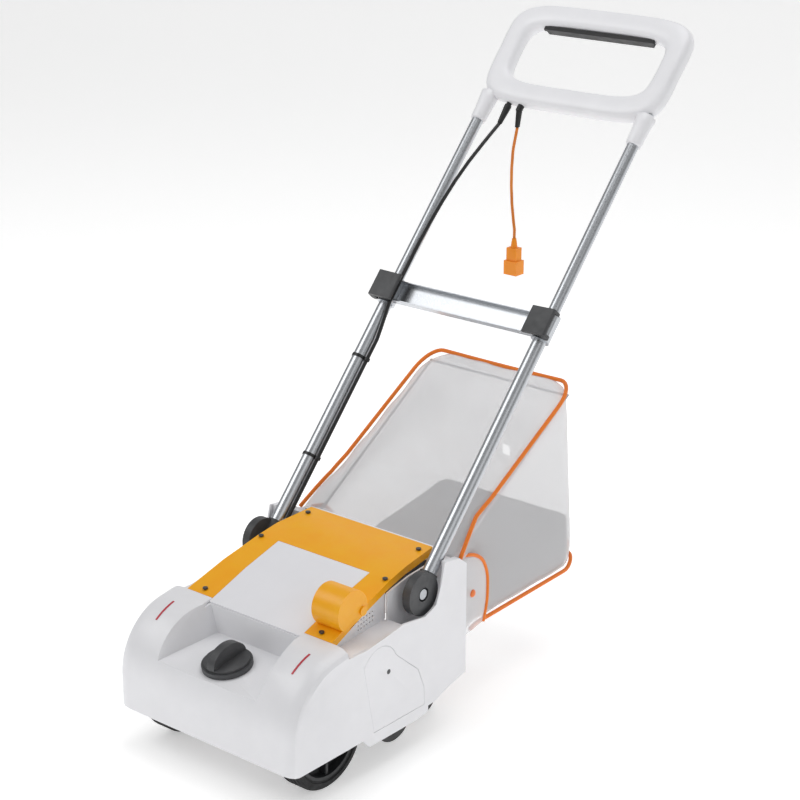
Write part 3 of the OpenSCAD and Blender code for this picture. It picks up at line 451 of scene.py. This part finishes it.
def bag_cloth():
    """The bag's cloth: a rounded oblong ring at each section, drawn in between its corners, with slack folds
    that fan from the seams. At the rear, rings that shrink make a slightly bulged panel, and the last of them
    leaves a hole 14 by 18 mm in its middle."""
    share, top, low, half = bag_sections()
    side = np.linspace(-1, 1, 25)[:-1]
    one = np.ones_like(side)
    p = np.concatenate([side, one, -side, -one])
    q = np.concatenate([one, -side, -one, side])
    soft_p = p * (1 - 0.035 * np.abs(q) ** 10)
    soft_q = q * (1 - 0.030 * np.abs(p) ** 10)
    fold = 0.0020 * np.sin(9 * p[None] + 14 * share[:, None]) * np.sin(11 * share[:, None] - 3 * p[None])
    sag = np.sin(np.pi * np.clip(share, 0, 1))[:, None]
    inward_q = (1 - p[None] ** 2) * (q[None] > 0.999) * 0.050 * sag
    inward_p = (1 - q[None] ** 2) * (np.abs(p[None]) > 0.999) * 0.045 * sag
    middle = (top + low) / 2
    reach = (top - low) / 2
    across = half[:, None] * soft_p[None] * (1 - inward_p)
    lift = soft_q[None] * (1 - inward_q)
    y = middle[:, :1] + reach[:, :1] * lift
    z = middle[:, 1:] + reach[:, 1:] * lift + fold * (q[None] > 0.2) + 0.6 * fold * (np.abs(p[None]) > 0.99)
    rings = np.stack([across, y, z], -1)
    last = rings[-1]
    centre = last.mean(0)
    close = np.array([0.94, 0.8, 0.6, 0.4, 0.2, 0.06])
    outward = np.array([0, 0.999, 0.05])
    rear = centre + (last - centre) * close[:, None, None] + 0.005 * (1 - close[:, None, None] ** 2) * outward
    grid = np.concatenate([rings, rear]) + [0, deck_front, 0]
    cloth = paint(surface("bag_cloth", grid, round_v=True), bag_film)
    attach(cloth, "bag")
    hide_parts("bag_shell")


def bag_tray():
    """The stiff tray in the bag's floor: a U that follows the cloth from inside, deeper towards the rear.
    There the U shrinks to its top middle and so closes the tray with an upright wall."""
    share, top, low, half = (values[7:] for values in bag_sections())
    depth = np.interp(share, [0.12, 0.5, 1], [0.012, 0.048, 0.066])
    wall = np.linspace(0, 1, 8)[:-1]
    p = np.concatenate([-np.ones(7), np.linspace(-1, 1, 25), np.ones(7)])
    h = np.concatenate([1 - wall, np.zeros(25), (1 - wall)[::-1]])
    level = 2 * depth[:, None] * h[None] / np.linalg.norm(top - low, axis=1)[:, None] - 1
    drawn_in = 1 - 0.045 * (1 - level ** 2) * np.sin(np.pi * np.clip(share, 0, 1))[:, None]
    corner = 1 - 0.035 * (1 - h) ** 6 * (np.abs(p) > 0.999)
    x = (half - 0.0045)[:, None] * p * corner * drawn_in
    slope = (top - low) / np.linalg.norm(top - low, axis=1, keepdims=True)
    base = low + 0.0035 * slope - np.array([0.0045, 0]) * np.clip((share - 0.9) / 0.1, 0, 1)[:, None]
    point = base[:, None] + depth[:, None, None] * h[None, :, None] * slope[:, None]
    rows = np.concatenate([x[..., None], point], -1)
    crest = np.array([0, *(base[-1] + depth[-1] * slope[-1])])
    rear = crest + (rows[-1] - crest) * np.linspace(0.9, 0.02, 8)[:, None, None]
    tray = paint(surface("bag_tray", np.concatenate([rows, rear]) + [0, deck_front, 0]), tray_polypropylene)
    shell = tray.modifiers.new("wall", "SOLIDIFY")
    shell.thickness, shell.offset = 0.002, 1
    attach(tray, "bag")
    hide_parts("bag_base")


def press_studs():
    """A domed press stud on each side flap: its radius falls from 6.2 mm to nothing over its height."""
    dome = [(0.0001, 0.0), (0.0062, 0.0), (0.0062, 0.003), (0.0052, 0.0046), (0.0028, 0.0054),
            (0.0001, 0.0056)]
    for side in (-1, 1):
        foot = (side * 0.1592, deck_front + 0.4215, 0.195)
        stud = lathe("press_stud", dome, foot, (side, 0, 0), (0, 1, 0), 32)
        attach(paint(stud, orange_acetal), "bag")
        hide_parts("snap_buttons")


def bag_binding():
    """Orange piping: one length up both top edges and across the rear with wide round corners, and one along
    each lower side edge that turns up at the rear."""
    _, top, low, half = bag_sections()
    offset = np.array([0, deck_front, 0])
    right = np.stack([half * 0.985 + 0.0012, top[:, 0], top[:, 1] + 0.0008], -1)
    across = np.linspace(half[-1] * 0.95, -half[-1] * 0.95, 24)
    dip = 0.001 * (1 - (across / 0.12) ** 2).clip(0)
    back = np.stack([across, np.full(24, top[-1, 0] + 0.0008), top[-1, 1] + 0.0006 - dip], -1)
    path = np.concatenate([right, back, right[::-1] * [-1, 1, 1]]) + offset
    pieces = [tube("top_piping", path, piping_radius, 12, up=(0, -0.5, 0.85))]
    for side in (-1, 1):
        lower = np.stack([side * (half * 0.985 + 0.0012), low[:, 0], low[:, 1] - 0.0006], -1)[6:]
        rise = np.array([[side * (half[-1] + 0.0012), 0.7262, 0.160],
                         [side * (half[-1] + 0.001), 0.7250, 0.172]])
        pieces.append(tube("lower_piping", np.concatenate([lower, rise]) + offset, piping_radius, 12))
    for piece in pieces:
        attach(paint(piece, binding_tape), "bag")
        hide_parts("bag_piping")


def bag_flaps():
    """A flap of the same cloth down each side of the mouth, its rear edge bowed and bound with piping.
    Both flaps' faces point inward."""
    rear = smooth_line([(0.408, 0.259), (0.433, 0.253), (0.453, 0.238), (0.464, 0.213), (0.466, 0.188),
                        (0.465, 0.163), (0.458, 0.133)], 6)
    for side in (-1, 1):
        x = side * (0.1545 + 0.0015 * np.sin(np.linspace(0, math.pi, len(rear))))
        edge = np.stack([x, rear[:, 0], rear[:, 1]], -1)
        front = np.stack([np.full(len(rear), side * 0.1645), np.full(len(rear), bag_front),
                          np.interp(rear[:, 1], [0.13, 0.26], [0.128, 0.262])], -1)
        t = np.linspace(0, 1, 10)[:, None, None]
        grid = front[None] * (1 - t) + edge[None] * t + [0, deck_front, 0]
        grid[..., 0] += side * 0.0008 * np.sin(np.pi * t[..., 0])
        flap = paint(surface("side_flap", grid, flip=side > 0), bag_film)
        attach(flap, "bag")
        hem = paint(tube("flap_piping", edge + [0, deck_front, 0], 0.0030, 12), binding_tape)
        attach(hem, "bag")


# ---------------------------------------------------------------- studio

def studio():
    """A plain pale floor that curves up behind, one large soft key light and two fills."""
    y = np.array([-9.0, -4.0, 0.0, 4.5, 6.6, 8.3, 9.2, 9.5])
    z = np.array([0.0, 0.0, 0.0, 0.0, 0.3, 1.2, 3.0, 9.0])
    x = np.linspace(-14, 14, 5)
    grid = np.stack([np.broadcast_to(x[None], (8, 5)), np.broadcast_to(y[:, None], (8, 5)),
                     np.broadcast_to(z[:, None], (8, 5))], -1)
    floor = surface("floor", grid)
    material, *_ = finish_of("pale_floor", Roughness=0.9, Base_Color=linear("#FFFFFF"),
                             Emission_Color=linear("#FFFFFF"), Emission_Strength=0.42)
    paint(floor, material)
    world = bpy.data.worlds.new("studio")
    world.use_nodes = True
    world.node_tree.nodes["Background"].inputs[0].default_value = (1, 1, 1, 1)
    world.node_tree.nodes["Background"].inputs[1].default_value = 0.30
    bpy.context.scene.world = world
    for name, place, size, power in (("key", (-1.8, -2.0, 3.0), 2.2, 36), ("fill", (2.6, -1.2, 1.6), 2.0, 8),
                                     ("top", (0.2, 0.6, 3.4), 2.4, 34)):
        lamp = bpy.data.lights.new(name, "AREA")
        lamp.size = size
        lamp.energy = power
        light = bpy.data.objects.new(name, lamp)
        light.location = place
        aim = np.array([0, 0, 0.3]) - np.array(place)
        light.rotation_euler = (math.atan2(math.hypot(aim[0], aim[1]), -aim[2]), 0,
                                math.atan2(-aim[0], aim[1]))
        bpy.context.scene.collection.objects.link(light)
    bpy.context.scene.view_settings.view_transform = "Standard"


set_camera()
power_lead()
finish_nodes()
grip_moulding()
bag_cloth()
bag_binding()
bag_flaps()
bag_tray()
press_studs()
studio()
